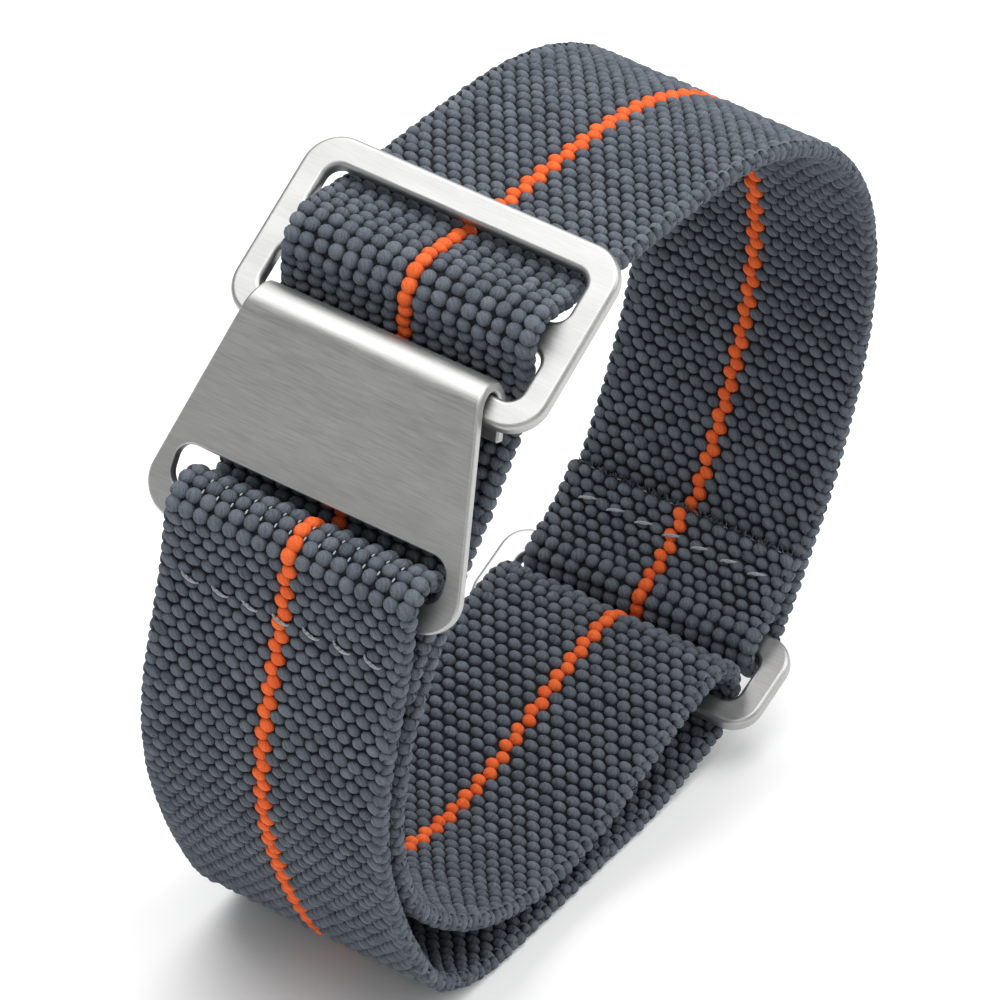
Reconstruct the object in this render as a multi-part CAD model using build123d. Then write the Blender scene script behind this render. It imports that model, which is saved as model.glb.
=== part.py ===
from build123d import *
from math import atan2, cos, degrees, hypot, radians, sin
import os

# Braided elastic watch strap, buckled into its wrist loop and resting on its low run.
# X runs across the loop from the hook to the adjuster, Y across the band, Z up.

# Loop, seen from the band's edge
LOOP_LENGTH = 63.6

# Band, a flat elastic webbing
BAND_WIDTH = 20.0
BAND_THICKNESS = 1.3
SELVEDGE_RADIUS = 0.4
SEWN_TAIL_LENGTH = 0.5

# Centre warp line, a cord woven into both faces
LINE_WIDTH = 1.4
LINE_DEPTH = 0.35
GROOVE_OVERRUN = 0.02

# Rubber threads in the band's middle
CORE_SIZE = 0.5
CORE_COUNT = 8
CORE_EDGE = 1.9

# Catch, a plate with three bars
CATCH_BAND_PLAY = 0.35
CATCH_RAIL = 2.0
CATCH_THICKNESS = 1.2
CATCH_HOOK_BAR = 1.95
CATCH_MIDDLE_BAR = 2.2
CATCH_END_BAR = 2.15
CATCH_SLOT = 4.0
CATCH_CORNER_RADIUS = 2.7
CATCH_SLOT_RADIUS = 1.1
CATCH_EDGE_RADIUS = 0.35
CATCH_TILT = 34

# Hook plate, bent over the catch's lowest bar
HOOK_THICKNESS = 0.85
HOOK_BEND_RADIUS = 1.2
HOOK_LIP = 2.2
HOOK_LENGTH = 15.35
HOOK_BEND_PLAY = 0.9
HOOK_BAND_PLAY = 0.75
HOOK_RAIL = 2.3
HOOK_FOOT_BAR = 2.1
HOOK_SLOT = 3.3
HOOK_SLOT_RADIUS = 1.3
HOOK_EAR_RADIUS = 2.6
HOOK_EDGE_RADIUS = 0.2
HOOK_HANG = 0.5
HOOK_LEAN = 65.3

# Adjuster, a link with one slot
ADJUSTER_BAR = 1.8
ADJUSTER_SLOT = 4.4
ADJUSTER_BAND_PLAY = 0.35
ADJUSTER_RAIL = 2.05
ADJUSTER_THICKNESS = 1.2
ADJUSTER_CORNER_RADIUS = 2.2
ADJUSTER_SLOT_RADIUS = 1.1
ADJUSTER_EDGE_RADIUS = 0.35
ADJUSTER_TILT = 24

# Turns of the band round the bars, to the band's middle
HOOK_FOLD_RADIUS = 1.75
HOOK_FOLD_RISE = 0.97
CATCH_WRAP_RADIUS = 2.0
CATCH_LEAD = 2.3
CATCH_EXIT = 4.25
TURN_RADIUS = 3.15
TURN_REACH_SHARE = 0.34
TURN_RISE_SHARE = 0.29
SEWN_FOLD_RADIUS = 1.85
TURN_HEADINGS = (15, 188)
WRAP_HEADINGS = (94, -6.6)
SEWN_HEADINGS = (-122, 24)

# Stitches through the two sewn layers
STITCH_RADIUS = 0.22
STITCH_LENGTH = 1.2
STITCH_PITCH = 2.45
STITCH_SLANT = 5
HOOK_STITCH_COUNT = 7
ADJUSTER_STITCH_COUNT = 7
HOOK_STITCH_SHARE = 1.7
ADJUSTER_STITCH_SHARE = 0.83

# Where each metal piece stands, as shares of the loop length
CATCH_SHARES = (-0.3355, 0.8153)
ADJUSTER_SHARES = (0.288, 0.0896)

# Points of the band's middle line with its headings, as shares of the loop length
BASE_SHARES = (-0.204, 0.071)
FRONT_SHARES = (-0.465, 0.283, -69)
INNER_BASE_SHARES = (0.037, 0.077, 202)
INNER_TURN_SHARES = ((-0.212, 0.074, 159), (-0.375, 0.1825, 135))
INNER_FRONT_SHARES = (-0.4495, 0.322, 105)
TOP_SHARES = ((0.087, 0.888, -4), (0.331, 0.803, -35))
BACK_SHARES = (0.484, 0.560, -81)

# Points counted from the middle of the band's fold at the hook, as shares of the hook's length
LEG_SHARES = (-0.184, -0.671, -100)
BEHIND_HOOK_SHARES = ((-0.051, -0.750, 84), (0.068, -0.439, 68), (0.260, -0.033, 58))

# Points of the hook end's cut tail, counted from the same middle, as shares of the fold's radius
HOOK_TAIL_SHARES = ((0.751, -1.049, -108), (0.025, -2.539, -114), (-0.485, -3.774, -104), (-0.557, -4.247, -97))

# A point counted from the middle of the catch's hook bar, as shares of the catch's length
WEAVE_SHARES = (0.135, -0.247, 62)

# Points counted from the adjuster's outer bar, as shares of the sewn fold's radius
BACK_FOOT_SHARES = (3.341, 4.189, -113.7)
SEWN_TAIL_SHARES = (1.873, 2.942, 58)

# Heights where the band is parted into nodes, as shares of the loop length
FRONT_SPLIT_SHARE = 0.401
FRONT_FOOT_SHARE = 0.189
BACK_SPLIT_SHARE = 0.346

# Drop from the fold's middle to the end of its outer leg, as a share of the hook's length
HOOK_LEG_SHARE = 0.509

CUT_OVERRUN = 1.0
SMALL_ANGLE = 1e-3


def place(shares):
    """A point in the loop's plane from shares of the loop length."""
    return Vector(shares[0] * LOOP_LENGTH, 0, shares[1] * LOOP_LENGTH)


def along(heading):
    """The unit direction of a heading in the loop's plane, in degrees up from +X."""
    return Vector(cos(radians(heading)), 0, sin(radians(heading)))


def left_of(heading):
    """The unit direction to the left of a heading, seen from the near edge."""
    return along(heading + 90)


def arc(start, heading, turn, length):
    """One arc of the band's middle line, or a straight where the turn is 0."""
    return {"start": start, "heading": heading, "turn": turn, "length": length}


def arc_point(piece, share, offset=0):
    """The point at a share of an arc's length, set off to its left."""
    swing = piece["turn"] * share
    half = radians(swing) / 2
    chord = piece["length"] * share
    if abs(half) > SMALL_ANGLE:
        chord = chord * sin(half) / half
    point = piece["start"] + along(piece["heading"] + swing / 2) * chord
    return point + left_of(piece["heading"] + swing) * offset


def arc_part(piece, low_share, high_share):
    """The part of an arc between two shares of its length."""
    span = high_share - low_share
    heading = piece["heading"] + piece["turn"] * low_share
    return arc(arc_point(piece, low_share), heading, piece["turn"] * span, piece["length"] * span)


def arc_to(start, heading, end):
    """The arc that leaves a point on a heading and reaches another point."""
    step = end - start
    half = (degrees(atan2(step.Z, step.X)) - heading + 180) % 360 - 180
    length = hypot(step.X, step.Z)
    if abs(radians(half)) > SMALL_ANGLE:
        length = length * radians(half) / sin(radians(half))
    return arc(start, heading, 2 * half, length)


def turn_about(centre, radius, headings, clockwise):
    """The arc about a centre from one heading to another."""
    side = -1 if clockwise else 1
    start = centre - left_of(headings[0]) * radius * side
    swing = ((headings[1] - headings[0]) * side) % 360
    return arc(start, headings[0], swing * side, radians(swing) * radius)


def join(start, start_heading, end, end_heading):
    """Two arcs that join two points and keep to the heading at each."""
    first = along(start_heading)
    last = along(end_heading)
    step = end - start
    both = first + last
    spread = 2 * (1 - first.dot(last))
    if spread > SMALL_ANGLE ** 2:
        reach = ((step.dot(both) ** 2 + spread * step.dot(step)) ** 0.5 - step.dot(both)) / spread
    else:
        reach = step.dot(step) / (4 * step.dot(last))
    middle = (start + end + (first - last) * reach) / 2
    opening = arc_to(start, start_heading, middle)
    return [opening, arc_to(middle, start_heading + opening["turn"], end)]


def path(stations):
    """Arcs through a row of points, each with its heading."""
    pieces = []
    for (start, start_heading), (end, end_heading) in zip(stations, stations[1:]):
        pieces += join(start, start_heading, end, end_heading)
    return pieces


def station(shares):
    """A point and its heading from shares of the loop length."""
    return (place(shares), shares[2])


def station_from(centre, size, shares):
    """A point counted from a centre in shares of a size, and its heading."""
    return (centre + Vector(shares[0], 0, shares[1]) * size, shares[2])


def path_start(pieces):
    return (pieces[0]["start"], pieces[0]["heading"])


def path_end(pieces):
    last = pieces[-1]
    return (arc_point(last, 1), last["heading"] + last["turn"])


def straight_on(pieces, length):
    """A straight that carries a path on."""
    point, heading = path_end(pieces)
    return [arc(point, heading, 0, length)]


def split_at(pieces, height):
    """A path's two parts, before and after it crosses a height."""
    for index, piece in enumerate(pieces):
        rise = (piece["start"].Z - height) * (arc_point(piece, 1).Z - height)
        if rise < 0:
            low = 0
            high = 1
            for _ in range(40):
                middle = (low + high) / 2
                same_side = (arc_point(piece, middle).Z - height) * (piece["start"].Z - height) > 0
                low, high = (middle, high) if same_side else (low, middle)
            before = pieces[:index] + [arc_part(piece, 0, low)]
            return before, [arc_part(piece, low, 1)] + pieces[index + 1:]
    raise ValueError("the path doesn't cross this height")


def path_length(pieces):
    return sum(piece["length"] for piece in pieces)


def path_point(pieces, share, offset):
    """The point and heading at a share of a path's length."""
    left = share * path_length(pieces)
    for piece in pieces:
        if left <= piece["length"]:
            here = left / piece["length"]
            return arc_point(piece, here, offset), piece["heading"] + piece["turn"] * here
        left -= piece["length"]
    return arc_point(pieces[-1], 1, offset), path_end(pieces)[1]


def face_edges(pieces, offset, shift):
    """The line that runs beside a path at an offset."""
    edges = []
    for piece in pieces:
        start, middle, end = (arc_point(piece, share, offset) + shift for share in (0, 0.5, 1))
        if abs(radians(piece["turn"])) > SMALL_ANGLE:
            edges.append(Edge.make_three_point_arc(start, middle, end))
        else:
            edges.append(Edge.make_line(start, end))
    return edges


def strip(pieces, low, high, width, centre=0):
    """A strip along a path, between two offsets from it."""
    shift = Vector(0, centre - width / 2, 0)
    first = pieces[0]
    last = pieces[-1]
    edges = face_edges(pieces, low, shift) + face_edges(pieces, high, shift)
    edges.append(Edge.make_line(arc_point(first, 0, low) + shift, arc_point(first, 0, high) + shift))
    edges.append(Edge.make_line(arc_point(last, 1, low) + shift, arc_point(last, 1, high) + shift))
    return Solid.extrude(Face(Wire(edges)), Vector(0, width, 0))


def core_places():
    """The threads' places across the band, the outer ones a named length from its edges."""
    pitch = (BAND_WIDTH - 2 * CORE_EDGE) / (CORE_COUNT - 1)
    return [(index - (CORE_COUNT - 1) / 2) * pitch for index in range(CORE_COUNT)]


def core_threads(pieces):
    """The rubber threads along one stretch of band."""
    half = CORE_SIZE / 2
    return [strip(pieces, -half, half, CORE_SIZE, across) for across in core_places()]


def centre_lines(pieces):
    """The inlaid warp line on both faces of one stretch of band."""
    face = BAND_THICKNESS / 2
    bed = face - LINE_DEPTH
    return [strip(pieces, bed, face, LINE_WIDTH), strip(pieces, -face, -bed, LINE_WIDTH)]


def line_grooves(pieces):
    """The cuts that the warp line lies in."""
    face = BAND_THICKNESS / 2
    bed = face - LINE_DEPTH
    above = face + GROOVE_OVERRUN
    return [strip(pieces, bed, above, LINE_WIDTH), strip(pieces, -above, -bed, LINE_WIDTH)]


def band(pieces):
    """One stretch of webbing with soft edges, its warp line's grooves and its threads' tunnels."""
    face = BAND_THICKNESS / 2
    webbing = strip(pieces, -face, face, BAND_WIDTH)
    ends = [path_start(pieces)[0], path_end(pieces)[0]]
    rim = []
    for edge in webbing.edges():
        middle = edge.center()
        flat = Vector(middle.X, 0, middle.Z)
        on_side = abs(abs(middle.Y) - BAND_WIDTH / 2) < SELVEDGE_RADIUS / 4
        if on_side and min((flat - end).length for end in ends) > face / 4:
            rim.append(edge)
    webbing = webbing.fillet(SELVEDGE_RADIUS, rim)
    return webbing.cut(*line_grooves(pieces), *core_threads(pieces))


def stitch_row(pieces, share, offset, count):
    """A row of slanted stitches half sunk in a face of the band."""
    point, heading = path_point(pieces, share, offset)
    face_plane = Plane(origin=point, x_dir=along(heading), z_dir=left_of(heading))
    row = []
    for index in range(count):
        across = (index - (count - 1) / 2) * STITCH_PITCH
        turned = Rot(0, 0, STITCH_SLANT) * Rot(90, 0, 0) * Cylinder(STITCH_RADIUS, STITCH_LENGTH)
        row.append((face_plane * Pos(0, across, 0) * turned).solid())
    return row


def link(plane, bars, slots, slot_width, rail, thickness, corner_radius, slot_radius, edge_radius):
    """A flat metal link with bars and slots across it, starting at a plane's origin."""
    length = sum(bars) + sum(slots)
    width = slot_width + 2 * rail
    outline = Pos(length / 2, 0) * RectangleRounded(length, width, corner_radius)
    reached = bars[0]
    for slot, bar in zip(slots, bars[1:]):
        outline -= Pos(reached + slot / 2, 0) * RectangleRounded(slot, slot_width, slot_radius)
        reached += slot + bar
    body = extrude(outline, thickness / 2, both=True)
    body = fillet(body.edges(), edge_radius)
    return (plane * body).solid()


def catch_plane():
    """The catch's own frame, along its length from its hook bar's edge."""
    return Plane(origin=place(CATCH_SHARES), x_dir=along(CATCH_TILT), z_dir=left_of(CATCH_TILT))


def catch_length():
    return CATCH_HOOK_BAR + CATCH_MIDDLE_BAR + CATCH_END_BAR + 2 * CATCH_SLOT


def catch_slot_width():
    return BAND_WIDTH + 2 * CATCH_BAND_PLAY


def hook_bar_centre():
    return catch_plane().origin + along(CATCH_TILT) * CATCH_HOOK_BAR / 2


def middle_bar_centre():
    reach = CATCH_HOOK_BAR + CATCH_SLOT + CATCH_MIDDLE_BAR / 2
    return catch_plane().origin + along(CATCH_TILT) * reach


def catch_buckle():
    """The catch: a hook bar, a middle bar for the band and an end bar."""
    bars = (CATCH_HOOK_BAR, CATCH_MIDDLE_BAR, CATCH_END_BAR)
    slots = (CATCH_SLOT, CATCH_SLOT)
    return link(catch_plane(), bars, slots, catch_slot_width(), CATCH_RAIL, CATCH_THICKNESS,
                CATCH_CORNER_RADIUS, CATCH_SLOT_RADIUS, CATCH_EDGE_RADIUS)


def adjuster_bar_centre(side):
    """The middle of the adjuster's bar on one side, -1 or 1."""
    reach = (ADJUSTER_SLOT + ADJUSTER_BAR) / 2
    return place(ADJUSTER_SHARES) + along(ADJUSTER_TILT) * reach * side


def adjuster_loop():
    """The adjuster: two bars with one slot between them."""
    start = place(ADJUSTER_SHARES) - along(ADJUSTER_TILT) * (ADJUSTER_BAR + ADJUSTER_SLOT / 2)
    plane = Plane(origin=start, x_dir=along(ADJUSTER_TILT), z_dir=left_of(ADJUSTER_TILT))
    bars = (ADJUSTER_BAR, ADJUSTER_BAR)
    slot_width = BAND_WIDTH + 2 * ADJUSTER_BAND_PLAY
    return link(plane, bars, (ADJUSTER_SLOT,), slot_width, ADJUSTER_RAIL, ADJUSTER_THICKNESS,
                ADJUSTER_CORNER_RADIUS, ADJUSTER_SLOT_RADIUS, ADJUSTER_EDGE_RADIUS)


def hook_line():
    """The hook plate's middle line: up the lip, over the bar and down the plate."""
    radius = HOOK_BEND_RADIUS + HOOK_THICKNESS / 2
    bend = turn_about(hook_bar_centre(), radius, (HOOK_LEAN, HOOK_LEAN + 180), False)
    lip_end = bend["start"] - along(HOOK_LEAN) * HOOK_LIP
    lip = arc(lip_end, HOOK_LEAN, 0, HOOK_LIP)
    return [lip, bend] + straight_on([bend], HOOK_LENGTH)


def hook_slot_width():
    return BAND_WIDTH + 2 * HOOK_BAND_PLAY


def hook_foot_width():
    return hook_slot_width() + 2 * HOOK_RAIL


def hook_outline():
    """The hook plate seen square on, flared from its bend to its foot's ears."""
    top = catch_slot_width() / 2 - HOOK_BEND_PLAY
    foot = hook_foot_width() / 2
    over_bend = HOOK_BEND_RADIUS + HOOK_THICKNESS + CUT_OVERRUN
    crest = top - (foot - top) * over_bend / HOOK_LENGTH
    corners = [(-over_bend, -crest), (HOOK_LENGTH, -foot), (HOOK_LENGTH, foot), (-over_bend, crest)]
    shape = make_face(Polyline(*corners, close=True))
    ears = [corner for corner in shape.vertices() if corner.X > HOOK_LENGTH / 2]
    shape = fillet(ears, HOOK_EAR_RADIUS)
    slot_middle = HOOK_LENGTH - HOOK_FOOT_BAR - HOOK_SLOT / 2
    return shape - Pos(slot_middle, 0) * RectangleRounded(HOOK_SLOT, hook_slot_width(), HOOK_SLOT_RADIUS)


def hook_plate():
    """The hook plate, bent over the catch's bar, with the slot that the band is sewn round."""
    half = HOOK_THICKNESS / 2
    sheet = strip(hook_line(), -half, half, hook_foot_width())
    plane = Plane(origin=hook_bar_centre(), x_dir=along(HOOK_LEAN + 180), z_dir=left_of(HOOK_LEAN))
    reach = HOOK_BEND_RADIUS + HOOK_THICKNESS + CUT_OVERRUN
    cutter = plane * extrude(hook_outline(), reach, both=True)
    plate = Part() + sheet
    plate = plate & cutter
    plate = fillet(plate.edges(), HOOK_EDGE_RADIUS)
    return (Pos(0, HOOK_HANG, 0) * plate).solid()


def hook_fold_centre():
    """The middle of the band's fold, above the foot bar's own middle."""
    plane_side = HOOK_BEND_RADIUS + HOOK_THICKNESS / 2
    bar = hook_bar_centre() + left_of(HOOK_LEAN) * plane_side
    bar = bar - along(HOOK_LEAN) * (HOOK_LENGTH - HOOK_FOOT_BAR / 2)
    return bar + Vector(0, 0, HOOK_FOLD_RISE)


def hook_fold():
    """The band's fold round the hook's foot bar."""
    return turn_about(hook_fold_centre(), HOOK_FOLD_RADIUS, (90, -90), False)


def hook_tail():
    """The cut end that hangs from the fold and is sewn to its outer leg."""
    centre = hook_fold_centre()
    below = [station_from(centre, HOOK_FOLD_RADIUS, row) for row in HOOK_TAIL_SHARES]
    return path([(arc_point(hook_fold(), 0), -90)] + below)


def outer_front():
    """The outer layer from the fold down to the flat base."""
    leg_end = station_from(hook_fold_centre(), HOOK_LENGTH, LEG_SHARES)
    base_start = (path_start(outer_base())[0], 0)
    return path([path_end([hook_fold()]), leg_end, station(FRONT_SHARES), base_start])


def outer_base():
    """The flat length that the strap rests on."""
    start = Vector(BASE_SHARES[0] * LOOP_LENGTH, 0, BAND_THICKNESS / 2)
    return [arc(start, 0, 0, (BASE_SHARES[1] - BASE_SHARES[0]) * LOOP_LENGTH)]


def adjuster_turn():
    """The band's turn round the adjuster's inner bar."""
    shift = Vector(-TURN_REACH_SHARE, 0, TURN_RISE_SHARE) * TURN_RADIUS
    return [turn_about(adjuster_bar_centre(-1) + shift, TURN_RADIUS, TURN_HEADINGS, False)]


def sewn_turn():
    """The band's fold round the adjuster's outer bar."""
    return [turn_about(adjuster_bar_centre(1), SEWN_FOLD_RADIUS, SEWN_HEADINGS, True)]


def sewn_tail():
    """The cut end that is sewn back onto the band."""
    end = station_from(adjuster_bar_centre(1), SEWN_FOLD_RADIUS, SEWN_TAIL_SHARES)
    tail = path([path_end(sewn_turn()), end])
    return tail + straight_on(tail, SEWN_TAIL_LENGTH)


def catch_wrap():
    """The band's way up and over the catch's middle bar."""
    wrap = turn_about(middle_bar_centre(), CATCH_WRAP_RADIUS, WRAP_HEADINGS, True)
    lead_start = wrap["start"] - along(WRAP_HEADINGS[0]) * CATCH_LEAD
    return [arc(lead_start, WRAP_HEADINGS[0], 0, CATCH_LEAD), wrap]


def inner_layer():
    """The inner layer from the flat base up behind the hook."""
    fold_centre = hook_fold_centre()
    low = [station(row) for row in (INNER_BASE_SHARES, *INNER_TURN_SHARES, INNER_FRONT_SHARES)]
    return path(low + [station_from(fold_centre, HOOK_LENGTH, row) for row in BEHIND_HOOK_SHARES])


def back_layer(top):
    """The single layer from the top run down to the adjuster's outer bar."""
    foot = station_from(adjuster_bar_centre(1), SEWN_FOLD_RADIUS, BACK_FOOT_SHARES)
    return path([path_end(top), station(BACK_SHARES), foot, path_start(sewn_turn())])


def runs():
    """Every stretch of the band by name, each a path along its middle line."""
    leg_foot = hook_fold_centre().Z - HOOK_LEG_SHARE * HOOK_LENGTH
    leg, rest = split_at(outer_front(), leg_foot)
    upper, rest = split_at(rest, FRONT_SPLIT_SHARE * LOOP_LENGTH)
    lower, turn = split_at(rest, FRONT_FOOT_SHARE * LOOP_LENGTH)
    base = outer_base()
    low_turn = adjuster_turn()
    base_end = path([path_end(base), path_start(low_turn)])
    inner_end = path([path_end(low_turn), station(INNER_BASE_SHARES)])
    inner_turn, inner_front = split_at(inner_layer(), FRONT_FOOT_SHARE * LOOP_LENGTH)
    wrap = catch_wrap()
    weave_place = station_from(hook_bar_centre(), catch_length(), WEAVE_SHARES)
    weave = path([path_end(inner_front), weave_place, path_start(wrap)]) + wrap
    weave += straight_on(weave, CATCH_EXIT)
    top = path([path_end(weave)] + [station(row) for row in TOP_SHARES])
    back_run, back_low = split_at(back_layer(top), BACK_SPLIT_SHARE * LOOP_LENGTH)
    return {
        "hook_end_fold": reverse(hook_tail()) + [hook_fold()] + leg,
        "outer_front_upper": upper,
        "outer_front_lower": lower,
        "outer_turn": turn,
        "outer_base": base,
        "outer_base_end": base_end,
        "adjuster_turn": low_turn,
        "inner_base_end": inner_end,
        "inner_turn": inner_turn,
        "inner_front": inner_front,
        "catch_weave": weave,
        "top_run": top,
        "back_run": back_run,
        "back_low": back_low,
        "sewn_end_fold": sewn_turn() + sewn_tail(),
    }


def reverse(pieces):
    """The same path run from its end to its start."""
    turned = []
    for piece in reversed(pieces):
        heading = piece["heading"] + piece["turn"] + 180
        turned.append(arc(arc_point(piece, 1), heading, -piece["turn"], piece["length"]))
    return turned


# The stretches of band that one warp line node and one thread node run through
GROUPS = {
    "hook": ("hook_end_fold",),
    "hook_leg": ("outer_front_upper",),
    "front": ("outer_front_lower", "inner_front"),
    "lower": ("outer_turn", "outer_base", "inner_turn"),
    "base_end": ("outer_base_end", "inner_base_end"),
    "adjuster": ("adjuster_turn", "sewn_end_fold"),
    "catch": ("catch_weave", "top_run"),
    "back": ("back_run",),
    "back_low": ("back_low",),
}


def all_nodes():
    """Every node of the strap by name."""
    paths = runs()
    nodes = {name: band(pieces) for name, pieces in paths.items()}
    face = BAND_THICKNESS / 2
    leg_share = 1 - HOOK_STITCH_SHARE * HOOK_FOOT_BAR / path_length(paths["hook_end_fold"])
    hook_row = stitch_row(paths["hook_end_fold"], leg_share, -face, HOOK_STITCH_COUNT)
    adjuster_row = stitch_row(paths["sewn_end_fold"], ADJUSTER_STITCH_SHARE, face, ADJUSTER_STITCH_COUNT)
    nodes["hook_end_fold"] = nodes["hook_end_fold"].cut(*hook_row)
    nodes["sewn_end_fold"] = nodes["sewn_end_fold"].cut(*adjuster_row)
    nodes["hook_end_stitches"] = Compound(hook_row)
    nodes["adjuster_end_stitches"] = Compound(adjuster_row)
    for group, names in GROUPS.items():
        lines = [line.cut(*hook_row, *adjuster_row) for name in names for line in centre_lines(paths[name])]
        threads = [thread for name in names for thread in core_threads(paths[name])]
        nodes["centre_line_" + group] = Compound(lines)
        nodes["elastic_cores_" + group] = Compound(threads)
    nodes["catch_buckle"] = catch_buckle()
    nodes["hook_plate"] = hook_plate()
    nodes["adjuster_loop"] = adjuster_loop()
    return nodes


os.makedirs("parts", exist_ok=True)
for name, shape in all_nodes().items():
    export_step(shape, "parts/" + name + ".step")
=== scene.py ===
import bpy
import math
import numpy as np
from mathutils import Matrix, Vector


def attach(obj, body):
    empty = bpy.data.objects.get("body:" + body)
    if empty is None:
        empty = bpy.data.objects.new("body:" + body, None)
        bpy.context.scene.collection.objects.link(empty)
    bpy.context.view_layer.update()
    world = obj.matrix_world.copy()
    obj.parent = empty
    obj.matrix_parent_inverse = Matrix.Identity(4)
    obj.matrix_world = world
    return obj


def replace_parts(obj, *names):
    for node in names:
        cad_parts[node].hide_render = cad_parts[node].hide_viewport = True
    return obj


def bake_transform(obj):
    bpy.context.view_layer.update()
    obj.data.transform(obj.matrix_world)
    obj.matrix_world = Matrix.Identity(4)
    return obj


# A braided elastic watch strap: the CAD metal in brushed steel, the band rebuilt as woven beads.

MM = 0.001

# Band, as the CAD source has it
LOOP_LENGTH = 63.6 * MM
BAND_WIDTH = 20.0 * MM
BAND_THICKNESS = 1.3 * MM
SEWN_TAIL_LENGTH = 0.5 * MM
CORE_COUNT = 8
CORE_EDGE = 1.9 * MM
CORE_RADIUS = 0.22 * MM

# Metal pieces that the band turns round
CATCH_HOOK_BAR = 1.95 * MM
CATCH_MIDDLE_BAR = 2.2 * MM
CATCH_END_BAR = 2.15 * MM
CATCH_SLOT = 4.0 * MM
CATCH_TILT = 34
HOOK_THICKNESS = 0.85 * MM
HOOK_BEND_RADIUS = 1.2 * MM
HOOK_LENGTH = 15.35 * MM
HOOK_FOOT_BAR = 2.1 * MM
HOOK_LEAN = 65.3
ADJUSTER_BAR = 1.8 * MM
ADJUSTER_SLOT = 4.4 * MM
ADJUSTER_TILT = 24

# Turns of the band round the bars
HOOK_FOLD_RADIUS = 1.75 * MM
HOOK_FOLD_RISE = 0.97 * MM
CATCH_WRAP_RADIUS = 2.0 * MM
CATCH_LEAD = 2.3 * MM
CATCH_EXIT = 4.25 * MM
TURN_RADIUS = 3.15 * MM
TURN_REACH_SHARE = 0.34
TURN_RISE_SHARE = 0.29
SEWN_FOLD_RADIUS = 1.85 * MM
TURN_HEADINGS = (15, 188)
WRAP_HEADINGS = (94, -6.6)
SEWN_HEADINGS = (-122, 24)

# Places of the metal and points of the band's middle line, as shares of the loop length
CATCH_SHARES = (-0.3355, 0.8153)
ADJUSTER_SHARES = (0.288, 0.0896)
BASE_SHARES = (-0.204, 0.071)
FRONT_SHARES = (-0.465, 0.283, -69)
INNER_BASE_SHARES = (0.037, 0.077, 202)
INNER_TURN_SHARES = ((-0.212, 0.074, 159), (-0.375, 0.1825, 135))
INNER_FRONT_SHARES = (-0.4495, 0.322, 105)
TOP_SHARES = ((0.087, 0.888, -4), (0.331, 0.803, -35))
BACK_SHARES = (0.484, 0.560, -81)
FRONT_SPLIT_SHARE = 0.401
FRONT_FOOT_SHARE = 0.189
BACK_SPLIT_SHARE = 0.346

# Points counted from the metal, as shares of its own sizes
LEG_SHARES = (-0.184, -0.671, -100)
BEHIND_HOOK_SHARES = ((-0.051, -0.750, 84), (0.068, -0.439, 68), (0.260, -0.033, 58))
HOOK_TAIL_SHARES = (
    (0.751, -1.049, -108), (0.025, -2.539, -114), (-0.485, -3.774, -104), (-0.557, -4.247, -97))
WEAVE_SHARES = (0.135, -0.247, 62)
BACK_FOOT_SHARES = (3.341, 4.189, -113.7)
SEWN_TAIL_SHARES = (1.873, 2.942, 58)
HOOK_LEG_SHARE = 0.509

# Weave: beads of yarn in brick courses, one orange bead to a row
ROW_PITCH = 0.88 * MM
BEAD_PITCH = 1.17 * MM
BEAD_STEP_SHARE = 0.25
OPEN_STEP_SHARE = 0.06
BEAD_HALF_WIDTH = 0.61 * MM
BEAD_HEIGHT = 0.47 * MM
BEAD_SEAT = 0.2 * MM
BEAD_LENGTH_SHARE = 0.53
OPEN_LENGTH_SHARE = 0.54
WINDOW_OPENING = 0.8
OPEN_RADIUS = 2.2 * MM
BEAD_TILT = -14
BEADS_A_SIDE = 7
LINE_HALF_WIDTH = 0.62 * MM
LINE_STEP_SHARE = 0.6
LINE_SWELL = 1.15
LINE_TILT = -24
OPEN_SWELL = 1.15
FIBRE_TWIST = 35
GROUND_HALF_THICKNESS = 0.24 * MM
GROUND_HALF_WIDTH = 9.3 * MM
SELVEDGE_REACH = 9.95 * MM
SELVEDGE_LENGTH_SHARE = 0.56
SELVEDGE_TILT = -22
EDGE_PLACE = 9.5 * MM
EDGE_HALF_WIDTH = 0.5 * MM
EDGE_LENGTH_SHARE = 0.54
EDGE_LEAN = 28
EDGE_HALF_THICKNESS = 0.66 * MM
EDGE_SWAY = 0.03 * MM
SELVEDGE_OVERLAP_SHARE = 0.7
GROUND_STEP = 0.4 * MM
THREAD_STEP = 0.8 * MM

# How much the beads follow a bend, and how much they differ from one another
BEND_STRETCH = 2.4
LEAST_STRETCH = 0.45
LEAST_MAP_STRETCH = 0.3
MAP_SPREAD = 40
CROWN_FLOOR = 0.4
SIZE_SPREAD = 0.05
HEIGHT_SPREAD = 0.07
PLACE_SPREAD = 0.04
SHADE_SPREAD = 0.15
TILT_SPREAD = 6
LINE_TILT_SPREAD = 5
SELVEDGE_TILT_SPREAD = 4
SELVEDGE_LENGTH_SPREAD = 0.06
SELVEDGE_HEIGHT_SPREAD = 0.08
MIDDLE_SHADE = 0.5
SELVEDGE_SHADE = 0.56

# Sewing
STITCH_PITCH = 2.45 * MM
STITCH_HALF_LENGTH = 0.72 * MM
STITCH_RADIUS = 0.08 * MM
STITCH_SLANT = 0.22 * MM
STITCH_COUNT = 7
STITCH_DIP = 0.34 * MM
HOOK_STITCH_SHARE = 1.7
ADJUSTER_STITCH_SHARE = 0.83
FRAY_COUNT = 150
FRAY_REACH = (0.15 * MM, 0.55 * MM)
FRAY_RADIUS = 0.035 * MM
SPECK_RADIUS = 0.07 * MM
SPECK_HALF_LENGTH = 0.2 * MM
SPECK_PLACES = (10.72 * MM, 11.6 * MM)

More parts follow.
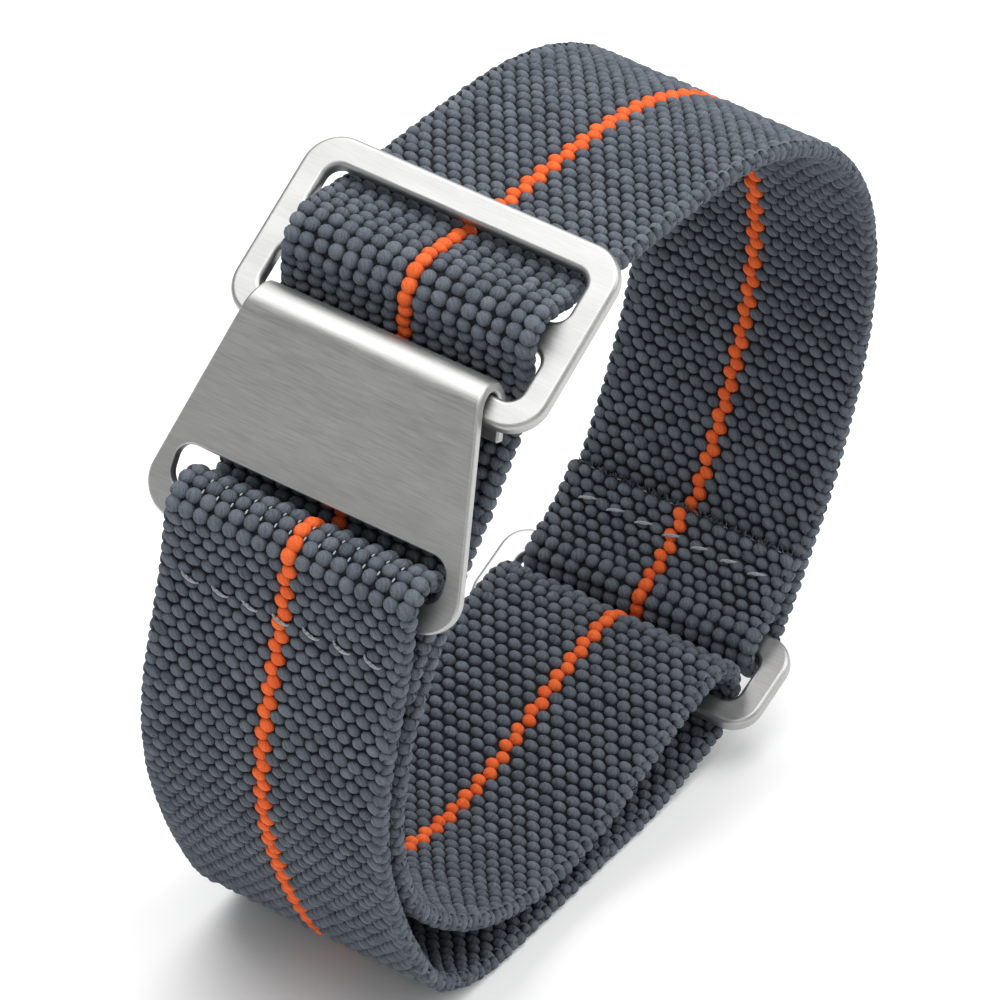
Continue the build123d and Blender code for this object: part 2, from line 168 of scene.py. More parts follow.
# The photograph's view, before the loop was turned to lie on its flat
CAMERA_AZIMUTH = -56.73
CAMERA_ELEVATION = 44
CAMERA_DISTANCE = 500 * MM
CAMERA_LENS = 259.1
LOOP_TURN = 8
CAMERA_TARGET = (-2.7 * MM, 0, 30.2 * MM)

SMALL_ANGLE = 1e-3
RANDOM = np.random.default_rng(7)


def place(shares):
    return np.array([shares[0], shares[1]]) * LOOP_LENGTH


def along(heading):
    angle = np.radians(heading)
    return np.stack([np.cos(angle), np.sin(angle)], -1)


def left_of(heading):
    return along(np.asarray(heading) + 90)


def arc(start, heading, turn, length):
    """One arc of the band's middle line, or a straight where the turn is 0."""
    return {"start": start, "heading": heading, "turn": turn, "length": length}


def arc_point(piece, share, offset=0):
    swing = piece["turn"] * share
    half = math.radians(swing) / 2
    chord = piece["length"] * share
    if abs(half) > SMALL_ANGLE:
        chord = chord * math.sin(half) / half
    point = piece["start"] + along(piece["heading"] + swing / 2) * chord
    return point + left_of(piece["heading"] + swing) * offset


def arc_part(piece, low_share, high_share):
    span = high_share - low_share
    heading = piece["heading"] + piece["turn"] * low_share
    return arc(arc_point(piece, low_share), heading, piece["turn"] * span, piece["length"] * span)


def arc_to(start, heading, end):
    step = end - start
    half = (math.degrees(math.atan2(step[1], step[0])) - heading + 180) % 360 - 180
    length = math.hypot(*step)
    if abs(math.radians(half)) > SMALL_ANGLE:
        length = length * math.radians(half) / math.sin(math.radians(half))
    return arc(start, heading, 2 * half, length)


def turn_about(centre, radius, headings, clockwise):
    side = -1 if clockwise else 1
    start = centre - left_of(headings[0]) * radius * side
    swing = ((headings[1] - headings[0]) * side) % 360
    return arc(start, headings[0], swing * side, math.radians(swing) * radius)


def join(start, start_heading, end, end_heading):
    """Two arcs that join two points and keep to the heading at each."""
    first = along(start_heading)
    last = along(end_heading)
    step = end - start
    both = first + last
    spread = 2 * (1 - first @ last)
    if spread > SMALL_ANGLE ** 2:
        reach = (math.sqrt((step @ both) ** 2 + spread * (step @ step)) - step @ both) / spread
    else:
        reach = (step @ step) / (4 * (step @ last))
    middle = (start + end + (first - last) * reach) / 2
    opening = arc_to(start, start_heading, middle)
    return [opening, arc_to(middle, start_heading + opening["turn"], end)]


def path(stations):
    pieces = []
    for (start, start_heading), (end, end_heading) in zip(stations, stations[1:]):
        pieces += join(start, start_heading, end, end_heading)
    return pieces


def station(shares):
    return place(shares), shares[2]


def station_from(centre, size, shares):
    """A point counted from a centre in shares of a size, and its heading."""
    return centre + np.array(shares[:2]) * size, shares[2]


def path_start(pieces):
    return pieces[0]["start"], pieces[0]["heading"]


def path_end(pieces):
    last = pieces[-1]
    return arc_point(last, 1), last["heading"] + last["turn"]


def split_at(pieces, height):
    """A path's two parts, before and after it crosses a height."""
    for index, piece in enumerate(pieces):
        if (piece["start"][1] - height) * (arc_point(piece, 1)[1] - height) < 0:
            low, high = 0, 1
            for _ in range(40):
                middle = (low + high) / 2
                same_side = (arc_point(piece, middle)[1] - height) * (piece["start"][1] - height) > 0
                low, high = (middle, high) if same_side else (low, middle)
            return pieces[:index] + [arc_part(piece, 0, low)], [arc_part(piece, low, 1)] + pieces[index + 1:]
    raise ValueError("the path doesn't cross this height")


def reverse(pieces):
    turned = []
    for piece in reversed(pieces):
        heading = piece["heading"] + piece["turn"] + 180
        turned.append(arc(arc_point(piece, 1), heading, -piece["turn"], piece["length"]))
    return turned


def hook_bar_centre():
    return place(CATCH_SHARES) + along(CATCH_TILT) * CATCH_HOOK_BAR / 2


def hook_fold_centre():
    bar = hook_bar_centre() + left_of(HOOK_LEAN) * (HOOK_BEND_RADIUS + HOOK_THICKNESS / 2)
    bar = bar - along(HOOK_LEAN) * (HOOK_LENGTH - HOOK_FOOT_BAR / 2)
    return bar + np.array([0, HOOK_FOLD_RISE])


def adjuster_bar_centre(side):
    return place(ADJUSTER_SHARES) + along(ADJUSTER_TILT) * side * (ADJUSTER_SLOT + ADJUSTER_BAR) / 2


def front_layers():
    """The hook's tail, its fold and the outer layer down to the flat base."""
    centre = hook_fold_centre()
    fold = turn_about(centre, HOOK_FOLD_RADIUS, (90, -90), False)
    below = [station_from(centre, HOOK_FOLD_RADIUS, row) for row in HOOK_TAIL_SHARES]
    tail = path([(arc_point(fold, 0), -90)] + below)
    leg_end = station_from(centre, HOOK_LENGTH, LEG_SHARES)
    base_start = np.array([BASE_SHARES[0] * LOOP_LENGTH, BAND_THICKNESS / 2])
    front = path([path_end([fold]), leg_end, station(FRONT_SHARES), (base_start, 0)])
    base = [arc(base_start, 0, 0, (BASE_SHARES[1] - BASE_SHARES[0]) * LOOP_LENGTH)]
    return reverse(tail) + [fold], front, base


def inner_layer():
    low = [station(row) for row in (INNER_BASE_SHARES, *INNER_TURN_SHARES, INNER_FRONT_SHARES)]
    centre = hook_fold_centre()
    return path(low + [station_from(centre, HOOK_LENGTH, row) for row in BEHIND_HOOK_SHARES])


def weave_layer(start):
    """The band's way through the catch, over its middle bar and out under its end bar."""
    reach = CATCH_HOOK_BAR + CATCH_SLOT + CATCH_MIDDLE_BAR / 2
    middle_bar = place(CATCH_SHARES) + along(CATCH_TILT) * reach
    wrap = turn_about(middle_bar, CATCH_WRAP_RADIUS, WRAP_HEADINGS, True)
    lead_start = wrap["start"] - along(WRAP_HEADINGS[0]) * CATCH_LEAD
    catch_length = CATCH_HOOK_BAR + CATCH_MIDDLE_BAR + CATCH_END_BAR + 2 * CATCH_SLOT
    weave_place = station_from(hook_bar_centre(), catch_length, WEAVE_SHARES)
    lead = [arc(lead_start, WRAP_HEADINGS[0], 0, CATCH_LEAD), wrap]
    end, heading = path_end(lead)
    return path([start, weave_place, path_start(lead)]) + lead + [arc(end, heading, 0, CATCH_EXIT)]


def band_runs():
    """Every stretch of the band by name, in order from the hook's sewn end to the adjuster's."""
    fold, front, base = front_layers()
    leg, rest = split_at(front, hook_fold_centre()[1] - HOOK_LEG_SHARE * HOOK_LENGTH)
    upper, rest = split_at(rest, FRONT_SPLIT_SHARE * LOOP_LENGTH)
    lower, turn = split_at(rest, FRONT_FOOT_SHARE * LOOP_LENGTH)
    shift = np.array([-TURN_REACH_SHARE, TURN_RISE_SHARE]) * TURN_RADIUS
    low_turn = [turn_about(adjuster_bar_centre(-1) + shift, TURN_RADIUS, TURN_HEADINGS, False)]
    inner_turn, inner_front = split_at(inner_layer(), FRONT_FOOT_SHARE * LOOP_LENGTH)
    weave = weave_layer(path_end(inner_front))
    top = path([path_end(weave)] + [station(row) for row in TOP_SHARES])
    outer_bar = adjuster_bar_centre(1)
    sewn = [turn_about(outer_bar, SEWN_FOLD_RADIUS, SEWN_HEADINGS, True)]
    foot = station_from(outer_bar, SEWN_FOLD_RADIUS, BACK_FOOT_SHARES)
    back = path([path_end(top), station(BACK_SHARES), foot, path_start(sewn)])
    back_run, back_low = split_at(back, BACK_SPLIT_SHARE * LOOP_LENGTH)
    tail = path([path_end(sewn), station_from(outer_bar, SEWN_FOLD_RADIUS, SEWN_TAIL_SHARES)])
    tail_point, tail_heading = path_end(tail)
    tail = tail + [arc(tail_point, tail_heading, 0, SEWN_TAIL_LENGTH)]
    return {
        "hook_end_fold": fold + leg,
        "outer_front_upper": upper,
        "outer_front_lower": lower,
        "outer_turn": turn,
        "outer_base": base,
        "outer_base_end": path([path_end(base), path_start(low_turn)]),
        "adjuster_turn": low_turn,
        "inner_base_end": path([path_end(low_turn), station(INNER_BASE_SHARES)]),
        "inner_turn": inner_turn,
        "inner_front": inner_front,
        "catch_weave": weave,
        "top_run": top,
        "back_run": back_run,
        "back_low": back_low,
        "sewn_end_fold": sewn + tail,
    }


# What each stretch rides on: one body, or the two that it lies between, from its start
CARRIERS = {
    "hook_end_fold": ("hook",),
    "outer_front_upper": ("hook", "catch"),
    "outer_front_lower": ("catch", "lower_band"),
    "outer_turn": ("lower_band",),
    "outer_base": ("lower_band",),
    "outer_base_end": ("lower_band", "adjuster"),
    "adjuster_turn": ("adjuster",),
    "inner_base_end": ("adjuster", "lower_band"),
    "inner_turn": ("lower_band",),
    "inner_front": ("lower_band", "catch"),
    "catch_weave": ("catch",),
    "top_run": ("catch",),
    "back_run": ("catch", "lower_band"),
    "back_low": ("lower_band", "adjuster"),
    "sewn_end_fold": ("adjuster",),
}

# The CAD group whose warp line and threads each stretch stands for
GROUPS = {
    "hook_end_fold": "hook",
    "outer_front_upper": "hook_leg",
    "outer_front_lower": "front",
    "inner_front": "front",
    "outer_turn": "lower",
    "outer_base": "lower",
    "inner_turn": "lower",
    "outer_base_end": "base_end",
    "inner_base_end": "base_end",
    "adjuster_turn": "adjuster",
    "sewn_end_fold": "adjuster",
    "catch_weave": "catch",
    "top_run": "catch",
    "back_run": "back",
    "back_low": "back_low",
}


class Run:
    """One stretch of band: points, headings and curvature by length along it."""

    def __init__(self, pieces):
        self.pieces = pieces
        self.ends = np.cumsum([piece["length"] for piece in pieces])
        self.length = float(self.ends[-1])

    def at(self, reached):
        reached = np.clip(reached, 0, self.length * (1 - 1e-9))
        points, headings, bends = [], [], []
        for value in np.atleast_1d(reached):
            index = int(np.searchsorted(self.ends, value, side="right"))
            piece = self.pieces[index]
            share = (value - (self.ends[index] - piece["length"])) / piece["length"]
            points.append(arc_point(piece, share))
            headings.append(piece["heading"] + piece["turn"] * share)
            bends.append(math.radians(piece["turn"]) / piece["length"])
        return np.array(points), np.array(headings), np.array(bends)

    def place(self, reached, across, offset):
        """Points in the row frame from length along, place across and height off the middle."""
        points, headings, _ = self.at(reached)
        flat = points + left_of(headings) * np.asarray(offset)[:, None]
        return np.stack([flat[:, 0], np.broadcast_to(across, len(flat)), flat[:, 1]], -1)


def unit_ball(segments, rings, lowest):
    """A ball's points and faces, with what lies below a height cut away."""
    bpy.ops.object.select_all(action="DESELECT")
    bpy.ops.mesh.primitive_uv_sphere_add(segments=segments, ring_count=rings, radius=1)
    ball = bpy.context.object
    bpy.ops.object.mode_set(mode="EDIT")
    bpy.ops.mesh.select_all(action="SELECT")
    bpy.ops.mesh.bisect(plane_co=(0, 0, lowest), plane_no=(0, 0, 1), clear_inner=True)
    bpy.ops.object.mode_set(mode="OBJECT")
    points = np.array([vertex.co for vertex in ball.data.vertices])
    faces = [list(face.vertices) for face in ball.data.polygons]
    bpy.data.objects.remove(ball)
    return points, faces


class Build:
    """Gathers points and faces, with a weave map in millimetres, a shade and a crown height."""

    def __init__(self):
        self.points, self.faces, self.maps, self.shades, self.crowns = [], [], [], [], []
        self.count = 0

    def add(self, points, faces, weave_map, shade, crown=1.0):
        self.points.append(points)
        self.maps.append(weave_map)
        self.shades.append(np.broadcast_to(shade, len(points)))
        self.crowns.append(np.broadcast_to(crown, len(points)))
        self.faces += [[corner + self.count for corner in face] for face in faces]
        self.count += len(points)

    def object(self, name, material):
        mesh = bpy.data.meshes.new(name)
        mesh.from_pydata(np.vstack(self.points).tolist(), [], self.faces)
        mesh.polygons.foreach_set("use_smooth", [True] * len(mesh.polygons))
        weave_map = mesh.uv_layers.new(name="weave")
        corners = np.zeros(len(mesh.loops), np.int32)
        mesh.loops.foreach_get("vertex_index", corners)
        weave_map.data.foreach_set("uv", np.vstack(self.maps)[corners].astype(np.float32).ravel())
        for label, values in (("shade", self.shades), ("crown", self.crowns)):
            attribute = mesh.attributes.new(label, "FLOAT", "POINT")
            attribute.data.foreach_set("value", np.concatenate(values).astype(np.float32))
        mesh.materials.append(material)
        made = bpy.data.objects.new(name, mesh)
        bpy.context.scene.collection.objects.link(made)
        return made


DOME = unit_ball(12, 8, -CROWN_FLOOR)
BALL = unit_ball(10, 8, -2)


def add_bead(build, run, shape, centre, half_sizes, tilt, face, shade, lean=0, crest=(0, 0, 1)):
    """A bead laid along the band: centre is (along, across, height), face is 1 or -1."""
    unit, faces = shape
    local = unit * np.array([half_sizes[0], half_sizes[1], half_sizes[2]])
    turn = math.radians(tilt)
    lengthwise = local[:, 0] * math.cos(turn) - local[:, 1] * math.sin(turn)
    across = local[:, 0] * math.sin(turn) + local[:, 1] * math.cos(turn)
    height = local[:, 2]
    roll = math.radians(lean)
    lengthwise, height = (lengthwise * math.cos(roll) - height * math.sin(roll),
                          lengthwise * math.sin(roll) + height * math.cos(roll))
    _, _, bends = run.at(centre[0])
    offset = centre[2] * face
    stretch = 1 / max(1 - offset * bends[0], LEAST_MAP_STRETCH)
    points, headings, _ = run.at([centre[0]])
    middle = points[0] + left_of(headings[0]) * offset
    flat = middle + along(headings[0]) * lengthwise[:, None] + left_of(headings[0]) * (height * face)[:, None]
    placed = np.stack([flat[:, 0], centre[1] + across, flat[:, 1]], -1)
    if face < 0:
        faces = [corners[::-1] for corners in faces]
    twist = along(FIBRE_TWIST * face)
    fibre = lengthwise * stretch * twist[0] + (across + height) * twist[1]
    other = (across + height) * twist[0] - lengthwise * stretch * twist[1]
    weave_map = np.stack([fibre, other], -1) / MM + RANDOM.uniform(-MAP_SPREAD, MAP_SPREAD, 2)
    crown = np.clip((unit @ np.array(crest) + CROWN_FLOOR) / (1 + CROWN_FLOOR), 0, 1)
    build.add(placed, faces, weave_map, shade, crown)


def row_places(run, pitch):
    count = max(1, round(run.length / pitch))
    return (np.arange(count) + 0.5) * run.length / count, run.length / count


def add_ground(build, run):
    """The ground weave that the beads sit on, drawn wholly in the yarn's painted gap shade as the shade
    between beads.
    """
    steps = max(8, int(run.length / GROUND_STEP))
    reached = np.linspace(0, run.length, steps)
    corners = ((-1, -1), (1, -1), (1, 1), (-1, 1))
    rings = [run.place(reached, across * GROUND_HALF_WIDTH, np.full(steps, offset * GROUND_HALF_THICKNESS))
             for across, offset in corners]
    points = np.stack(rings, 1).reshape(-1, 3)
    faces = []
    for step in range(steps - 1):
        for side in range(4):
            after = (side + 1) % 4
            faces.append([step * 4 + side, step * 4 + after, step * 4 + 4 + after, step * 4 + 4 + side])
    faces += [[3, 2, 1, 0], [steps * 4 - 4, steps * 4 - 3, steps * 4 - 2, steps * 4 - 1]]
    # Crown 0 gives the ground the full painted gap shade colour.
    build.add(points, faces, np.zeros((len(points), 2)), 0.0, 0.0)


def add_row(slate, orange, run, reached, spacing, side, opening):
    """One course of beads on both faces, with its selvedge strands and edge beads."""
    _, _, bends = run.at(reached)
    for face in (1, -1):
        local = spacing * max(1 - face * BEAD_SEAT * bends[0] * BEND_STRETCH, LEAST_STRETCH)
        opened = min(max(-face * bends[0] * OPEN_RADIUS, opening), 1)
        step = side * face * (BEAD_STEP_SHARE + (OPEN_STEP_SHARE - BEAD_STEP_SHARE) * opened)
        length = local * (BEAD_LENGTH_SHARE + (OPEN_LENGTH_SHARE - BEAD_LENGTH_SHARE) * opened)
        height = BEAD_HEIGHT * (1 + (OPEN_SWELL - 1) * opened)
        for column in range(-BEADS_A_SIDE, BEADS_A_SIDE + 1):
            wobble = RANDOM.normal(0, 1, 6)
            half_sizes = [length * (1 + SIZE_SPREAD * wobble[0]),
                          BEAD_HALF_WIDTH * (1 + SIZE_SPREAD * wobble[1]),
                          height * (1 + HEIGHT_SPREAD * wobble[2])]
            centre = (reached + PLACE_SPREAD * local * wobble[4], (step + column) * BEAD_PITCH, BEAD_SEAT)
            shade = MIDDLE_SHADE + SHADE_SPREAD * wobble[5]
            if column == 0:
                half_sizes[0] *= LINE_SWELL
                half_sizes[1] = LINE_HALF_WIDTH
                centre = (centre[0], centre[1] * LINE_STEP_SHARE, centre[2])
                tilt = (LINE_TILT * (1 - opened) + LINE_TILT_SPREAD * wobble[3]) * face
                add_bead(orange, run, DOME, centre, half_sizes, tilt, face, shade)
            else:
                tilt = (BEAD_TILT * (1 - opened) + TILT_SPREAD * wobble[3]) * face
                add_bead(slate, run, DOME, centre, half_sizes, tilt, face, shade)
        for edge in (1, -1):
            wobble = RANDOM.normal(0, 1, 4)
            inner = (BEADS_A_SIDE + step * edge) * BEAD_PITCH + BEAD_HALF_WIDTH * SELVEDGE_OVERLAP_SHARE
            half_sizes = [local * SELVEDGE_LENGTH_SHARE * (1 + SELVEDGE_LENGTH_SPREAD * wobble[0]),
                          (SELVEDGE_REACH - inner) / 2,
                          height * (1 + SELVEDGE_HEIGHT_SPREAD * wobble[1])]
            centre = (reached, edge * (SELVEDGE_REACH + inner) / 2, BEAD_SEAT)
            tilt = (SELVEDGE_TILT + SELVEDGE_TILT_SPREAD * wobble[2]) * face
            shade = SELVEDGE_SHADE + SHADE_SPREAD * wobble[3]
            add_bead(slate, run, DOME, centre, half_sizes, tilt, face, shade)
    for edge in (1, -1):
        wobble = RANDOM.normal(0, 1, 3)
        half_sizes = [spacing * EDGE_LENGTH_SHARE, EDGE_HALF_WIDTH * (1 + SELVEDGE_LENGTH_SPREAD * wobble[0]),
                      EDGE_HALF_THICKNESS]
        centre = (reached, edge * (EDGE_PLACE + side * EDGE_SWAY), 0)
        shade = MIDDLE_SHADE + SHADE_SPREAD * wobble[2]
        add_bead(slate, run, BALL, centre, half_sizes, 0, 1, shade, EDGE_LEAN, (0, edge, 0))


def weave_run(run, first_row, opening):
    """The slate beads, selvedges and ground of one stretch, and its orange beads."""
    slate = Build()
    orange = Build()
    add_ground(slate, run)
    places, spacing = row_places(run, ROW_PITCH)
    for index, reached in enumerate(places):
        side = 1 if (first_row + index) % 2 else -1
        add_row(slate, orange, run, reached, spacing, side, opening)
    return slate, orange, len(places)


def add_tube(build, centres, radius, sides, shade):
    """A round thread through a row of points in the row frame."""
    centres = np.asarray(centres)
    tangents = np.gradient(centres, axis=0)
    tangents /= np.linalg.norm(tangents, axis=1)[:, None]
    level = np.cross(tangents, [0, 1, 0])
    weak = np.linalg.norm(level, axis=1) < 0.3
    level[weak] = np.cross(tangents[weak], [1, 0, 0.3])
    level /= np.linalg.norm(level, axis=1)[:, None]
    other = np.cross(tangents, level)
    angles = np.arange(sides) * 2 * math.pi / sides
    rings = [centres + radius * (math.cos(a) * level + math.sin(a) * other) for a in angles]
    points = np.stack(rings, 1).reshape(-1, 3)
    faces = []
    for step in range(len(centres) - 1):
        for side in range(sides):
            after = (side + 1) % sides
            faces.append([step * sides + side, step * sides + sides + side,
                          step * sides + sides + after, step * sides + after])
    faces.append(list(range(sides)))
    faces.append([(len(centres) - 1) * sides + side for side in reversed(range(sides))])
    round_it = np.tile(np.arange(sides), len(centres))
    along_it = np.repeat(np.arange(len(centres)), sides)
    weave_map = np.stack([round_it, along_it], -1)
    build.add(points, faces, weave_map * 0.3, shade)


def threads_run(run):
    """The rubber threads inside one stretch."""
    build = Build()
    steps = max(6, int(run.length / THREAD_STEP))
    reached = np.linspace(0, run.length, steps)
    for across in np.linspace(CORE_EDGE - BAND_WIDTH / 2, BAND_WIDTH / 2 - CORE_EDGE, CORE_COUNT):
        add_tube(build, run.place(reached, across, np.zeros(steps)), CORE_RADIUS, 6, 0.5)
    return build


def add_stitch_row(build, run, reached, face):
    """Running stitches that dive between the beads, each of two strands."""
    for index in range(STITCH_COUNT):
        middle = (index - (STITCH_COUNT - 1) / 2) * STITCH_PITCH
        for strand in (-1, 1):
            share = np.linspace(-1, 1, 9)
            across = middle + share * STITCH_HALF_LENGTH
            rise = (BEAD_SEAT + BEAD_HEIGHT + STITCH_RADIUS * 0.6) - STITCH_DIP * share ** 4
            lengthwise = reached + strand * STITCH_RADIUS * 0.9 * np.cos(share * 2) - STITCH_SLANT * share
            points, headings, _ = run.at(lengthwise)
            flat = points + left_of(headings) * (rise * face)[:, None]
            centres = np.stack([flat[:, 0], across, flat[:, 1]], -1)
            add_tube(build, centres, STITCH_RADIUS, 6, 0.5 + 0.2 * strand)


def add_fray(build, run, reached, outward):
    """Short loose hairs along a cut end."""
    for across in np.linspace(-GROUND_HALF_WIDTH, GROUND_HALF_WIDTH, FRAY_COUNT):
        start = run.place([reached], across, [RANDOM.uniform(-0.5, 0.5) * BAND_THICKNESS])[0]
        _, headings, _ = run.at([reached])
        flat = along(headings[0] + RANDOM.normal(0, 25)) * outward
        reach = RANDOM.uniform(*FRAY_REACH)
        step = np.array([flat[0], RANDOM.normal(0, 0.35), flat[1]]) * reach
        bow = RANDOM.normal(0, 0.08, 3) * MM
        centres = [start, start + step * 0.5 + bow, start + step]
        add_tube(build, centres, FRAY_RADIUS, 3, RANDOM.uniform(0.3, 0.9))


class Value:
    """A number in a finish's nodes, so that a sum of numbers adds its Math nodes."""

    def __init__(self, finish, socket):
        self.finish = finish
        self.socket = socket

    def maths(self, operation, first, second):
        made = self.finish.node("ShaderNodeMath", {"operation": operation}, {0: first, 1: second})
        return Value(self.finish, made.outputs[0])

    def __add__(self, other):
        return self.maths("ADD", self, other)

    def __mul__(self, other):
        return self.maths("MULTIPLY", self, other)

    def __rmul__(self, other):
        return self.maths("MULTIPLY", other, self)

    def __rsub__(self, other):
        return self.maths("SUBTRACT", other, self)


class Finish:
    """A material, its nodes and its principled shader."""

    def __init__(self, name):
        self.material = bpy.data.materials.new(name)
        self.material.use_nodes = True
        self.tree = self.material.node_tree
        self.shader = self.tree.nodes["Principled BSDF"]

    def feed(self, socket, value):
        if isinstance(value, Value):
            self.tree.links.new(value.socket, socket)
        elif isinstance(value, bpy.types.NodeSocket):
            self.tree.links.new(value, socket)
        else:
            socket.default_value = value

    def node(self, kind, settings, sockets):
        made = self.tree.nodes.new(kind)
        for setting, value in settings.items():
            setattr(made, setting, value)
        for socket, value in sockets.items():
            self.feed(made.inputs[socket], value)
        return made

    def noise(self, vector, stretch, detail):
        scaled = self.node("ShaderNodeMapping", {}, {"Vector": vector, "Scale": stretch})
        settings = {"Vector": scaled.outputs["Vector"], "Scale": 1.0, "Detail": detail}
        return Value(self, self.node("ShaderNodeTexNoise", {}, settings).outputs["Fac"])

    def mix(self, share, low, high):
        made = self.node("ShaderNodeMix", {"data_type": "RGBA"}, {"Factor": share, "A": low, "B": high})
        return made.outputs["Result"]

    def attribute(self, label):
        made = self.node("ShaderNodeAttribute", {"attribute_name": label}, {})
        return Value(self, made.outputs["Fac"])

    def bump(self, height, strength, distance):
        settings = {"Height": height, "Strength": strength, "Distance": distance}
        made = self.node("ShaderNodeBump", {}, settings)
        self.feed(self.shader.inputs["Normal"], made.outputs["Normal"])

    def set(self, **sockets):
        for name, value in sockets.items():
            self.feed(self.shader.inputs[name.replace("_", " ")], value)


def yarn(name, painted_gap_shade, low, pale):
    """Spun yarn: fine fibres along each bead, a shade of its own for each, and painted shade darkening each
    bead towards its root, where the gaps between beads lie in shade.
    """
    finish = Finish(name)
    weave_map = finish.node("ShaderNodeUVMap", {"uv_map": "weave"}, {}).outputs["UV"]
    fibres = finish.noise(weave_map, (1.1, 5.5, 1), 3)
    fuzz = finish.noise(weave_map, (9, 9, 1), 2)
    shade = finish.attribute("shade") * 0.5 + fibres * 0.9 + fuzz * 0.6 + (-0.5)
    crown = finish.attribute("crown")
    body = finish.mix(shade, low, pale)
    # Painted shade: the colour darkens to the gap shade colour towards each bead's root (low crown), and
    # fully where crown is 0.
    painted_root_shade = 1.0 - crown
    colour = finish.mix(painted_root_shade * painted_root_shade * 1.6, body, painted_gap_shade)
    finish.set(Base_Color=colour, Roughness=0.85)
    finish.shader.inputs["Specular IOR Level"].default_value = 0.25
    finish.bump(fibres + fuzz * 0.4, 0.9, 0.16 * MM)
    return finish.material


def brushed(name, dull, bright, roughness):
    """Satin metal brushed across its width."""
    finish = Finish(name)
    place = finish.node("ShaderNodeTexCoord", {}, {}).outputs["Object"]
    grain = finish.noise(place, (9000, 500, 9000), 2)
    cloud = finish.noise(place, (500, 120, 500), 2)
    finish.set(Base_Color=finish.mix(grain, dull, bright), Metallic=1.0,
               Roughness=grain * 0.16 + cloud * 0.2 + (roughness - 0.18))
    finish.bump(grain, 0.09, 0.02 * MM)
    return finish.material


def plain(name, colour, roughness):
    finish = Finish(name)
    finish.set(Base_Color=(*colour, 1), Roughness=roughness)
    return finish.material


# Each yarn's first colour is painted shade for the bead roots and the gaps between beads; the other two are
# its own dull and pale tones.
SLATE = yarn("slate_yarn", (0.008, 0.010, 0.014, 1), (0.034, 0.042, 0.055, 1), (0.175, 0.197, 0.232, 1))
ORANGE = yarn("orange_yarn", (0.3, 0.025, 0.005, 1), (0.6, 0.07, 0.014, 1), (0.95, 0.19, 0.045, 1))
THREAD_GREY = yarn("sewing_thread", (0.12, 0.14, 0.16, 1), (0.24, 0.27, 0.29, 1), (0.5, 0.53, 0.55, 1))
RUBBER = plain("pale_rubber", (0.75, 0.75, 0.73), 0.5)
STEEL = brushed("brushed_steel", (0.34, 0.34, 0.336, 1), (0.5, 0.5, 0.494, 1), 0.43)


def carry(obj, name, run):
    """Rides the piece on its body; a piece between two bodies is baked in place and not bent."""
    carriers = CARRIERS[name]
    if len(carriers) == 1:
        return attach(obj, carriers[0])
    ends = run.place([0, run.length], 0, [0, 0])
    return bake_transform(obj)


def dress_band():
    """Every stretch of band as its own pieces."""
    row = 0
    for name, pieces in band_runs().items():
        run = Run(pieces)
        slate, orange, rows = weave_run(run, row, WINDOW_OPENING if name == "catch_weave" else 0)
        row += rows
        if name == "hook_end_fold":
            add_fray(slate, run, 0, -1)
        if name == "sewn_end_fold":
            add_fray(slate, run, run.length, 1)
        group = GROUPS[name]
        webbing = slate.object("weave_" + name, SLATE)
        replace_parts(carry(webbing, name, run), name)
        line = orange.object("line_" + name, ORANGE)
        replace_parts(carry(line, name, run), "centre_line_" + group)
        threads = threads_run(run).object("threads_" + name, RUBBER)
        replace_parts(carry(threads, name, run), "elastic_cores_" + group)
        if name == "hook_end_fold":
            add_sewing(name, run, run.length - HOOK_STITCH_SHARE * HOOK_FOOT_BAR, -1, "hook_end_stitches")
            add_specks(name, run)
        if name == "sewn_end_fold":
            add_sewing(name, run, run.length * ADJUSTER_STITCH_SHARE, 1, "adjuster_end_stitches")


def add_sewing(name, run, reached, face, node):
    build = Build()
    add_stitch_row(build, run, reached, face)
    stitches = build.object("sewn_" + node, THREAD_GREY)
    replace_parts(carry(stitches, name, run), node)


def add_specks(name, run):
    """Rubber threads that show between the beads where the fold opens the weave."""
    build = Build()
    for reached in SPECK_PLACES:
        for column in range(-BEADS_A_SIDE, BEADS_A_SIDE):
            centre = (reached, (column + 0.5) * BEAD_PITCH, BEAD_SEAT + 0.26 * MM)
            half_sizes = [SPECK_HALF_LENGTH, SPECK_RADIUS, SPECK_RADIUS]
            add_bead(build, run, BALL, centre, half_sizes, 0, -1, 0.5)
    # The specks use the darker sewing-thread grey, not the pale rubber colour: painted shade for the gaps
    # they show through.
    specks = build.object("rubber_specks", THREAD_GREY)
    carry(specks, name, run)


def dress_metal():
    for name in ("catch_buckle", "hook_plate", "adjuster_loop"):
        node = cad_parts[name]
        node.data.materials.clear()
        node.data.materials.append(STEEL)


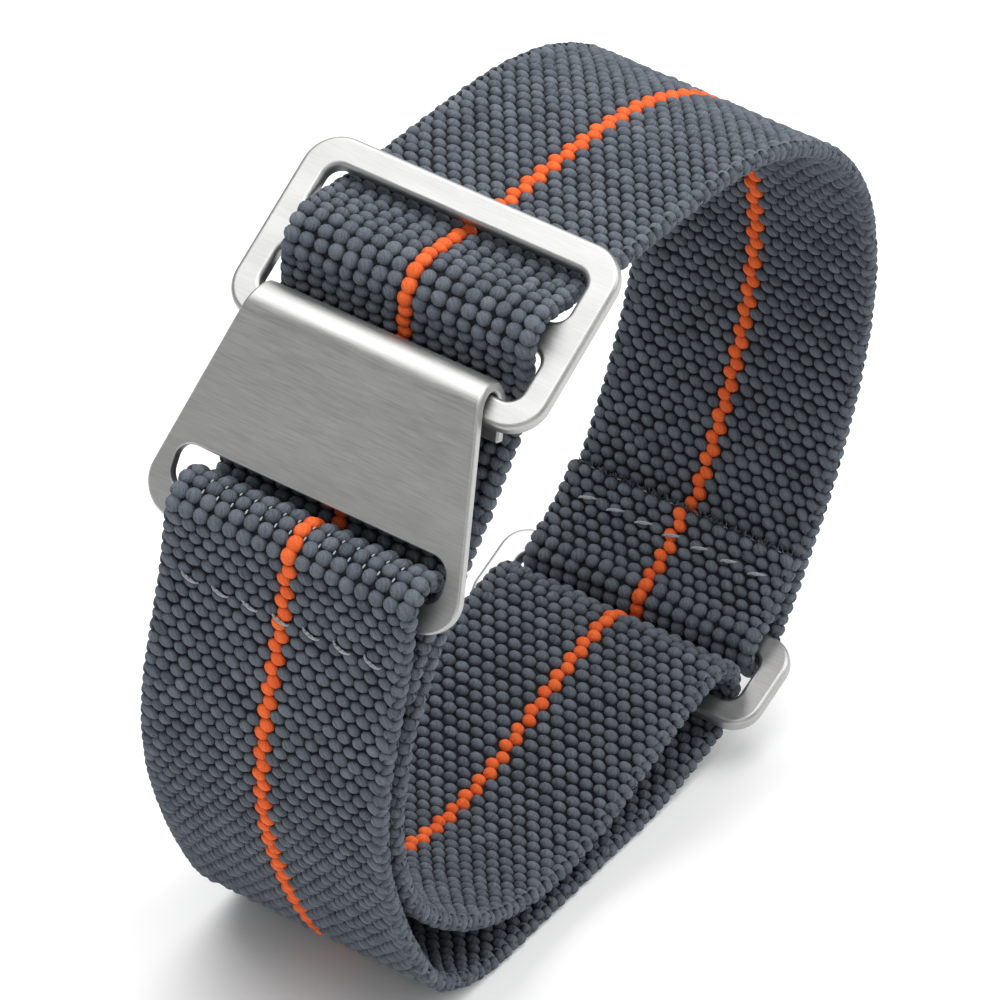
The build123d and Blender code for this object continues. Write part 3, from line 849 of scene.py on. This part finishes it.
def light_scene():
    """A white table, a bright overhead softbox and a grey horizon."""
    bpy.ops.mesh.primitive_plane_add(size=6)
    floor = bpy.context.object
    floor.name = "floor"
    floor.location.z = FLOOR_DROP
    floor.data.materials.append(plain("white_table", (0.93, 0.93, 0.93), 0.9))
    world = bpy.data.worlds.new("studio")
    bpy.context.scene.world = world
    world.use_nodes = True
    background = world.node_tree.nodes["Background"]
    background.inputs["Color"].default_value = (0.8, 0.8, 0.8, 1)
    background.inputs["Strength"].default_value = 0.52
    for name, spot, size, power in LAMPS:
        lamp_data = bpy.data.lights.new(name, "AREA")
        lamp_data.size = size
        lamp_data.energy = power
        lamp = bpy.data.objects.new(name, lamp_data)
        lamp.location = spot
        lamp.rotation_mode = "QUATERNION"
        lamp.rotation_quaternion = (Vector((0, 0, 0.03)) - Vector(spot)).to_track_quat("-Z", "Y")
        bpy.context.scene.collection.objects.link(lamp)


# Each lamp's place, size and power
LAMPS = (
    ("overhead", (0.05, 0.1, 0.9), 1.0, 10.5),
    ("near_left", (-0.8, -0.5, 0.5), 0.7, 1.0),
    ("near_right", (0.45, -0.6, 0.6), 0.7, 3.5),
    ("far_fill", (0.6, 0.5, 0.5), 0.6, 1.0),
)
FLOOR_DROP = -0.05 * MM


def place_camera():
    azimuth = math.radians(CAMERA_AZIMUTH)
    rise = math.radians(CAMERA_ELEVATION)
    back = Vector((math.sin(azimuth) * math.cos(rise), -math.cos(azimuth) * math.cos(rise), math.sin(rise)))
    right = Vector((math.cos(azimuth), math.sin(azimuth), 0))
    turn = Matrix.Rotation(-math.radians(LOOP_TURN), 3, "Y")
    back, right = turn @ back, turn @ right
    camera_data = bpy.data.cameras.new("camera")
    camera_data.lens = CAMERA_LENS
    camera_data.sensor_width = 36
    camera_data.clip_start = 0.01
    camera = bpy.data.objects.new("camera", camera_data)
    axes = Matrix((right, back.cross(right), back)).transposed().to_4x4()
    camera.matrix_world = Matrix.Translation(Vector(CAMERA_TARGET) + back * CAMERA_DISTANCE) @ axes
    bpy.context.scene.collection.objects.link(camera)
    bpy.context.scene.camera = camera


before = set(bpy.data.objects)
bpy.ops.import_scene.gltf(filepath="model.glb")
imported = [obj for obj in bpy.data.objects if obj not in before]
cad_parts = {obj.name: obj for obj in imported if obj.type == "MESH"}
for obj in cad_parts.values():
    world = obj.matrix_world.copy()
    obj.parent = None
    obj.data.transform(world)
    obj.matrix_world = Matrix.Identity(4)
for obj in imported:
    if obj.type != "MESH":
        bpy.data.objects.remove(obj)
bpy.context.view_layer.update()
dress_metal()
dress_band()
light_scene()
place_camera()
bpy.context.scene.view_settings.view_transform = "Standard"
